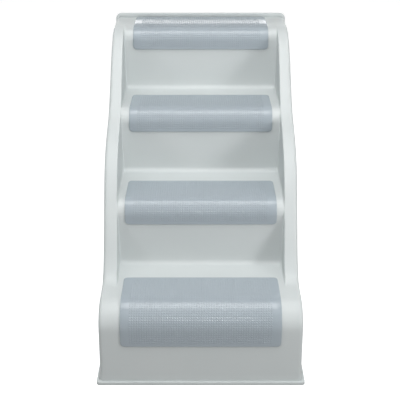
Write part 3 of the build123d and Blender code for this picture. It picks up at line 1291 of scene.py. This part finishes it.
    def rim_bead(self, shape: bmesh.types.BMesh) -> None:
        """Adds the flat bead along the rim's front edge, round both corners and down both sides.

        Args:
            shape: The mesh to add to.
        """
        s = self.sizes
        width, depth = self.bead_width / 2, self.bead_depth
        half = s.flange_half_width - width - self.bead_inset
        top = s.tread_z[3] + self.back_rim_height - width - self.bead_inset
        radius = self.back_rim_radius - width
        right = [(half, s.rim_back_z + self.bead_width, 0.0)]
        right += [
            (half - radius * (1 - math.cos(t)), top - radius * (1 - math.sin(t)), t)
            for t in quarter_turn(self.rim_corner_points)
        ]
        rows = []
        for x, z, turn in right + [(-x, z, math.pi - t) for x, z, t in right[::-1]]:
            outward = np.array([math.cos(turn), 0.0, math.sin(turn)])
            middle = np.array([x, s.back_y - s.wall, z])
            row = []
            for t in full_turn(self.bead_points):
                across, proud = (
                    math.copysign(abs(part) ** self.bead_flatness, part)
                    for part in (math.cos(t), math.sin(t))
                )
                row.append(middle + width * across * outward - np.array([0.0, depth * proud, 0.0]))
            rows.append(np.array(row))
        verts = grid_faces(shape, rows, closed=True)
        shape.faces.new(verts[0][::-1])
        shape.faces.new(verts[-1])

    def foot_lands(self, shape: bmesh.types.BMesh) -> None:
        """Adds the four lands under the base, each with a round seat for its rubber foot.

        Args:
            shape: The mesh to add to.
        """
        s = self.sizes
        half = self.foot_land_size / 2 + s.wall
        foot_x = s.rim_half_width - s.wall - half
        front, rear = s.front_y + s.wall + half, s.base_rear_y - self.foot_land_size / 2
        low, seat, high = (s.foot_proud + rise for rise in (0.0, self.foot_recess, self.foot_land))
        turns = full_turn(self.foot_points)
        square = [half / max(abs(math.cos(t)), abs(math.sin(t))) for t in turns]
        seat_ring, stem_ring = ([radius] * len(turns) for radius in (self.foot_radius, self.stem_radius))
        for centre_x, reach in ((-foot_x, -s.wall), (foot_x, s.wall)):
            for centre_y in (front, rear):
                rows = [
                    np.array(
                        [
                            (centre_x + shift + r * math.cos(t), centre_y + r * math.sin(t), z)
                            for r, t in zip(radii, turns)
                        ]
                    )
                    for radii, shift, z in (
                        (square, reach, high),
                        (square, reach, low),
                        (seat_ring, 0.0, low),
                        (seat_ring, 0.0, seat),
                        (stem_ring, 0.0, seat),
                        (stem_ring, 0.0, high),
                        (square, reach, high),
                    )
                ]
                grid_faces(shape, rows, closed=True)

    def rib_mesh(self) -> bpy.types.Mesh:
        """One stiffening rib, which follows the steps from below.

        Returns:
            The rib's mesh, at the middle of the stairs.
        """
        s = self.sizes
        outer = s.up_slope(s.stair_path(s.wall / 2, WAVE_PITCH))
        inner = s.up_slope(s.stair_path(s.wall + self.rib_depth, WAVE_PITCH))
        start, end = max(outer[0, 0], inner[0, 0]), min(outer[-1, 0], inner[-1, 0])
        rim_h = s.rim_height
        half = self.rib_thickness / 2
        rows = []
        for along in np.linspace(start, end, self.rib_slices):
            top, low = (float(np.interp(along, line[:, 0], line[:, 1])) for line in (outer, inner))
            low = min(max(low, s.base_height(along), rim_h), top)
            upper, lower = s.from_slope(along, top), s.from_slope(along, low)
            rows.append(
                np.array([(-half, *upper), (half, *upper), (half, *lower), (-half, *lower)])
            )
        shape = bmesh.new()
        verts = grid_faces(shape, rows, closed=True)
        shape.faces.new(verts[0])
        shape.faces.new(verts[-1][::-1])
        return finish_mesh(shape, "stair_rib")

    def knuckle_mesh(self, side: Side) -> bpy.types.Mesh:
        """A hinge's two knuckles with their webs, about the origin and along Z, the webs towards -Y.

        Args:
            side: The side of the stairs, towards which the webs widen.

        Returns:
            The knuckles' mesh.
        """
        radius, rounding = self.panel_thickness / 2, self.knuckle_rounding
        turns = full_turn(self.knuckle_points)
        web_x = self.hinge_inset - self.web_inset
        web_top, web_low = -radius / 2, -(radius + self.panel_rim_gap + self.web_rise)
        near = self.panel_knuckle / 2 + self.knuckle_gap
        shape = bmesh.new()
        for start in (near, -near - self.knuckle_length):
            end = start + self.knuckle_length
            profile = (
                (radius - rounding, start),
                (radius, start + rounding),
                (radius, end - rounding),
                (radius - rounding, end),
                (self.bore_radius, end),
                (self.bore_radius, start),
                (radius - rounding, start),
            )
            rows = [np.array([(r * math.cos(t), r * math.sin(t), z) for t in turns]) for r, z in profile]
            grid_faces(shape, rows, closed=True)
            web = [(-radius, web_top), (web_x, web_top), (web_x, web_low), (-radius, web_low)]
            web = [(side.value * x, y) for x, y in web][:: side.value]
            low, high = (
                [Vector((x, y, z)) for x, y in web] for z in (start + rounding / 2, end - rounding / 2)
            )
            add_prism(shape, low, high, rounding)
        return finish_mesh(shape, f"hinge_knuckles_{side.label}")

    def build(self, plastic: bpy.types.Material) -> list[bpy.types.Object]:
        """Makes the stair shell's pieces.

        Args:
            plastic: The shell's material.

        Returns:
            The skin, the flange with the rim and foot lands, the ribs, and each side's knuckles.
        """
        wall, trim = bmesh.new(), bmesh.new()
        self.skin(wall)
        skin_mesh = finish_mesh(wall, "stair_skin", self.skin_crease)
        skin = new_object("stair_skin", skin_mesh, plastic)
        self.base_flange(trim)
        self.back_rim(trim)
        self.rim_bead(trim)
        self.foot_lands(trim)
        for side in Side:
            self.slope_flange(trim, side)
        flange_mesh = finish_mesh(trim, "stair_flange", self.trim_crease)
        flange = new_object("stair_flange", flange_mesh, plastic)
        tree = repeat_along_line_tree()
        pitch = 2 * self.sizes.inner_half_width / (self.rib_count + 1) * MM
        line = {
            "Count": self.rib_count,
            "Start": (-(self.rib_count - 1) / 2 * pitch, 0.0, 0.0),
            "Step": (pitch, 0.0, 0.0),
        }
        pieces = [skin, flange, realised("stair_ribs", self.rib_mesh(), tree, line, plastic)]
        for side in Side:
            middles = self.hinge_middles(side)
            line = {
                "Count": len(middles),
                "Start": tuple(middles[0] * MM),
                "Step": tuple((middles[1] - middles[0]) * MM),
                "Turn": (self.sizes.slope - math.pi / 2, 0.0, 0.0),
            }
            name = f"shell_knuckles_{side.label}"
            pieces.append(realised(name, self.knuckle_mesh(side), tree, line, plastic))
        for piece in pieces:
            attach(piece, "staircase")
        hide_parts("stair_shell")
        return pieces


@dataclass
class StepPad:
    """One non-slip pad: a rubber skin over a nose, smooth at its border and studded within."""

    sizes: StairSizes
    step: int
    width: float = 340.0
    thickness: float = 2.8
    glue_gap: float = 0.15
    front_drop: float = 51.0
    bottom_front_drop: float = 89.0
    back_gap: float = 67.0
    platform_back_gap: float = 9.0
    corner_radius: float = 9.0
    edge_radius: float = 1.0
    border: float = 21.0
    end_border: float = 10.0
    stud_pitch: float = 5.25
    stud_width: float = 3.2
    stud_top: float = 1.9
    stud_height: float = 0.36
    stud_sink: float = 0.03
    crease_degrees: float = 60.0
    corner_rows: int = 8
    middle_rows: int = 44
    columns: int = 25
    edge_rows: int = 4

    def path(self, lift: float, trim: float) -> np.ndarray:
        """The pad's line seen from the side, from its back edge to its front lower edge.

        Args:
            lift: Its height above the moulding.
            trim: How much is left off at both ends.

        Returns:
            The samples, one (y, z) a row.
        """
        s, n = self.sizes, self.step - 1
        top, nose = s.tread_z[n], s.nose_y[n]
        last = n == 3
        behind = s.back_y - self.platform_back_gap if last else s.nose_y[n + 1] - self.back_gap
        drop = self.front_drop if n else self.bottom_front_drop
        middle, radii = [(nose - lift, top + lift)], [s.nose_radii[n] + lift]
        if last:
            middle, radii = s.platform_front(lift)
        corners = [(behind - trim, top + lift)] + middle[::-1] + [(nose - lift, top - drop + trim)]
        return rounded_path(corners, radii[::-1], PAD_PITCH)

    def sheet_rows(self, lift: float, trim: float) -> list[np.ndarray]:
        """The pad's surface as rows across the stairs, narrower where its corners are round.

        Args:
            lift: Its height above the moulding.
            trim: How far its edge is drawn in on all sides.

        Returns:
            The rows, each of points in millimetres.
        """
        path = self.path(lift, trim)
        length = run_lengths(path)[-1]
        radius = self.corner_radius - trim
        corner = radius * (1 - np.cos(quarter_turn(self.corner_rows)))[:-1]
        middle = np.linspace(radius, length - radius, self.middle_rows)
        places = np.concatenate([corner, middle, (length - corner)[::-1]])
        rows = []
        for place, (y, z) in zip(places, points_along(path, places)):
            near = min(place, length - place, radius)
            pull = radius - math.sqrt(max(0.0, radius**2 - (radius - near) ** 2))
            half = self.width / 2 - trim - pull
            rows.append(np.array([(x, y, z) for x in np.linspace(-half, half, self.columns)]))
        return rows

    def skin_mesh(self) -> bpy.types.Mesh:
        """The pad's body: a top face with a rolled edge, and a flat underside.

        Returns:
            The mesh.
        """
        top = self.glue_gap + self.thickness
        edge = self.edge_radius
        levels = [
            (top - edge * (1 - math.cos(t)), edge * (1 - math.sin(t)))
            for t in quarter_turn(self.edge_rows)
        ]
        levels.append((self.glue_gap, 0.0))
        sheets = [self.sheet_rows(lift, trim) for lift, trim in levels]
        shape = bmesh.new()
        grid_faces(shape, sheets[0])
        grid_faces(shape, [border_loop(rows) for rows in sheets], closed=True)
        grid_faces(shape, sheets[-1])
        return finish_mesh(shape, f"step_pad_{self.step}", self.crease_degrees)

    def field_mesh(self) -> bpy.types.Mesh:
        """The points on which the studs stand, as a plain surface.

        Returns:
            The mesh.
        """
        lift = self.glue_gap + self.thickness + self.stud_height / 2 - self.stud_sink
        path = self.path(lift, self.end_border)
        length = run_lengths(path)[-1]
        line = points_along(path, np.linspace(0, length, round(length / self.stud_pitch) + 1))
        half = self.width / 2 - self.border
        across = np.linspace(-half, half, round(2 * half / self.stud_pitch) + 1)
        shape = bmesh.new()
        grid_faces(shape, [np.array([(x, y, z) for x in across]) for y, z in line])
        bmesh.ops.recalc_face_normals(shape, faces=shape.faces)
        shape.normal_update()
        # The surface faces up on the tread and forwards on the nose, and so do its studs.
        if sum(face.normal.z - face.normal.y for face in shape.faces) < 0:
            bmesh.ops.reverse_faces(shape, faces=shape.faces)
        mesh = bpy.data.meshes.new(f"stud_field_{self.step}")
        shape.to_mesh(mesh)
        shape.free()
        return mesh

    def build(self, rubber: bpy.types.Material, tree: bpy.types.NodeTree) -> list[bpy.types.Object]:
        """Makes the pad and its studs.

        Args:
            rubber: The pads' material.
            tree: The stud field's geometry tree.

        Returns:
            The pad and its studs.
        """
        name = f"step_pad_{self.step}"
        stud = {
            "Stud Width": self.stud_width * MM,
            "Stud Top": self.stud_top * MM,
            "Stud Height": self.stud_height * MM,
        }
        pad = new_object(f"{name}_skin", self.skin_mesh(), rubber)
        studs = realised(f"{name}_studs", self.field_mesh(), tree, stud, rubber)
        for piece in (pad, studs):
            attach(piece, "staircase")
        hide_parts(name)
        return [pad, studs]


@dataclass
class SidePanel:
    """A folding side panel, its moulded edges softened."""

    side: Side
    edge_radius: float = 0.45
    merge_distance: float = 0.35
    flat_degrees: float = 0.6
    sharp_degrees: float = 30.0
    crease_degrees: float = 50.0

    @property
    def node(self) -> str:
        """The name of the panel's CAD node."""
        return f"{self.side.label}_side_panel"

    def build(self, solid: bpy.types.Object, plastic: bpy.types.Material) -> bpy.types.Object:
        """Makes the panel from a merged copy of its solid.

        Args:
            solid: The panel's CAD node.
            plastic: The panel's material.

        Returns:
            The panel.
        """
        shape = bmesh.new()
        shape.from_mesh(solid.data)
        bmesh.ops.remove_doubles(shape, verts=shape.verts, dist=self.merge_distance * MM)
        bmesh.ops.dissolve_limit(
            shape, angle_limit=math.radians(self.flat_degrees), verts=shape.verts, edges=shape.edges
        )
        sharp = [
            edge
            for edge in shape.edges
            if edge.is_convex and edge.calc_face_angle() > math.radians(self.sharp_degrees)
        ]
        round_edges(shape, sharp, self.edge_radius, held_apart=False)
        name = f"{self.node}_skin"
        panel = new_object(name, smoothed_mesh(shape, name, self.crease_degrees), plastic)
        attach(panel, f"{self.side.label}_panel")
        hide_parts(self.node)
        return panel


@dataclass(frozen=True)
class SoftBox:
    """A square studio lamp, in metres and watts. One that isn't in gloss leaves no reflection."""

    name: str
    place: tuple[float, float, float]
    aim: tuple[float, float, float]
    size: float
    power: float
    in_gloss: bool = True

    def hang(self) -> None:
        """Hangs the lamp and points it."""
        data = bpy.data.lights.new(self.name, "AREA")
        data.shape = "SQUARE"
        data.size = self.size
        data.energy = self.power
        light = bpy.data.objects.new(self.name, data)
        light.location = self.place
        way = Vector(self.aim) - Vector(self.place)
        light.rotation_euler = way.to_track_quat("-Z", "Y").to_euler()
        light.visible_glossy = self.in_gloss
        bpy.context.scene.collection.objects.link(light)


# Three soft boxes overhead, a strip on each side, and a box in front for the risers.
SOFT_BOXES = (
    SoftBox("overhead_softbox", (0.0, -0.45, 2.6), (0.0, -0.2, 0.3), 1.2, 18.5),
    SoftBox("left_strip", (-1.8, -1.5, 0.7), (0.0, -0.1, 0.3), 0.4, 5.5),
    SoftBox("right_strip", (1.8, -1.5, 0.7), (0.0, -0.1, 0.3), 0.6, 17.0),
    SoftBox("left_high_softbox", (-1.1, -0.3, 2.35), (0.0, -0.1, 0.35), 1.0, 8.3),
    SoftBox("right_high_softbox", (1.1, -0.3, 2.35), (0.0, -0.1, 0.35), 1.0, 4.5),
    SoftBox("front_softbox", (0.0, -1.1, 1.6), (0.0, -0.1, 0.35), 0.7, 9.6, in_gloss=False),
)


@dataclass(frozen=True)
class Studio:
    """The pale floor, the pale surround and the camera. Places are in metres."""

    camera_x: float = -0.0016
    camera_y: float = -1.7135
    camera_z: float = 1.0795
    camera_tilt: float = 66.3
    lens: float = 69.7
    shift: float = -0.05
    floor_half: float = 30.0
    floor_colour: str = "#F4F4F4"
    floor_roughness: float = 0.9
    floor_gloss: float = 0.1
    floor_glow: float = 0.68
    ground: float = 0.44
    horizon: float = 0.16
    zenith: float = 0.3
    backdrop: float = 2.5

    def floor(self) -> None:
        """Lays the floor: white paper that glows a little, so it stays white round the shadow."""
        mesh = bpy.data.meshes.new("studio_floor")
        half = self.floor_half
        corners = [(-half, -half, 0), (half, -half, 0), (half, half, 0), (-half, half, 0)]
        mesh.from_pydata(corners, [], [(0, 1, 2, 3)])
        material, _, shader = new_material("studio_paper")
        for name, value in (
            ("Base Color", linear_colour(self.floor_colour)),
            ("Roughness", self.floor_roughness),
            ("Specular IOR Level", self.floor_gloss),
            ("Emission Color", (1.0, 1.0, 1.0, 1.0)),
            ("Emission Strength", self.floor_glow),
        ):
            shader.inputs[name].default_value = value
        floor = new_object("studio_floor", mesh, material)
        floor.visible_diffuse = False
        floor.visible_glossy = False

    def surround(self) -> None:
        """Surrounds the stairs with pale light, and with a bright band behind them, above the floor.

        The camera itself sees plain white.
        """
        world = bpy.data.worlds.new("studio")
        world.use_nodes = True
        tree = world.node_tree
        way = add_node(tree, "ShaderNodeTexCoord").outputs["Generated"]
        parts = add_node(tree, "ShaderNodeSeparateXYZ", inputs={"Vector": way}).outputs
        light = {}
        # Each range follows one part of the direction: where it starts and ends, and its values there.
        for name, axis, ease, start, end, first, last in (
            ("level", "Z", "LINEAR", -0.02, 0.02, self.ground, self.horizon),
            ("rise", "Z", "LINEAR", 0.0, 1.0, 0.0, self.zenith - self.horizon),
            ("behind", "Y", "SMOOTHSTEP", 0.3, 0.8, 0.0, 1.0),
            ("above", "Z", "SMOOTHSTEP", 0.0, 0.08, 0.0, 1.0),
            ("low", "Z", "SMOOTHSTEP", 0.22, 0.30, self.backdrop, 0.0),
        ):
            light[name] = add_node(
                tree,
                "ShaderNodeMapRange",
                {"interpolation_type": ease},
                {
                    "Value": parts[axis],
                    "From Min": start,
                    "From Max": end,
                    "To Min": first,
                    "To Max": last,
                },
            ).outputs["Result"]
        for name, operation, one, other in (
            ("sky", "ADD", "level", "rise"),
            ("band", "MULTIPLY", "low", "above"),
            ("glow", "MULTIPLY", "behind", "band"),
            ("strength", "ADD", "sky", "glow"),
        ):
            light[name] = add_node(
                tree, "ShaderNodeMath", {"operation": operation}, {0: light[one], 1: light[other]}
            ).outputs[0]
        seen = add_node(tree, "ShaderNodeLightPath").outputs["Is Camera Ray"]
        shown = add_node(tree, "ShaderNodeMix", inputs={0: seen, 2: light["strength"], 3: 1.0})
        background = tree.nodes["Background"]
        background.inputs["Color"].default_value = (1.0, 1.0, 1.0, 1.0)
        tree.links.new(shown.outputs[0], background.inputs["Strength"])
        bpy.context.scene.world = world

    def camera(self) -> None:
        """Stands the camera where the photograph was taken."""
        data = bpy.data.cameras.new("camera")
        data.sensor_width = 36.0
        data.lens = self.lens
        data.shift_y = self.shift
        camera = bpy.data.objects.new("camera", data)
        camera.location = (self.camera_x, self.camera_y, self.camera_z)
        camera.rotation_euler = (math.radians(self.camera_tilt), 0.0, 0.0)
        bpy.context.scene.collection.objects.link(camera)
        bpy.context.scene.camera = camera
        bpy.context.scene.view_settings.view_transform = "Standard"

    def build(self) -> None:
        """Sets up the whole studio."""
        self.floor()
        for box in SOFT_BOXES:
            box.hang()
        self.surround()
        self.camera()


def dress_cad_nodes(nodes: dict[str, bpy.types.Object], finishes: dict[str, bpy.types.Material]) -> None:
    """Gives each CAD node that stays in view its finish.

    Args:
        nodes: The CAD nodes by name.
        finishes: A material for each part of a node's name.
    """
    for name, node in nodes.items():
        for part, material in finishes.items():
            if part in name:
                node.data.materials.clear()
                node.data.materials.append(material)
                log.info("dressed %s in %s", name, material.name)


def main() -> None:
    """Builds the looks of the stairs in order."""
    logging.basicConfig(level=logging.INFO, format="%(name)s: %(message)s")
    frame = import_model()
    nodes, sizes = frame["nodes"], StairSizes()
    plastic, rubber = SHELL_PLASTIC.material(), PAD_RUBBER.material()
    dress_cad_nodes(nodes, {"hinge_pin": PIN_STEEL.material(), "foot": FOOT_RUBBER.material()})
    pieces = StairMoulding(sizes).build(plastic)
    for side in Side:
        panel = SidePanel(side)
        pieces.append(panel.build(nodes[panel.node], plastic))
    tree = stud_field_tree()
    for step in (1, 2, 3, 4):
        pieces += StepPad(sizes, step).build(rubber, tree)
    for piece in pieces:
        log.info("made %s with %d faces", piece.name, len(piece.data.polygons))
    Studio().build()


if __name__ == "__main__":
    main()
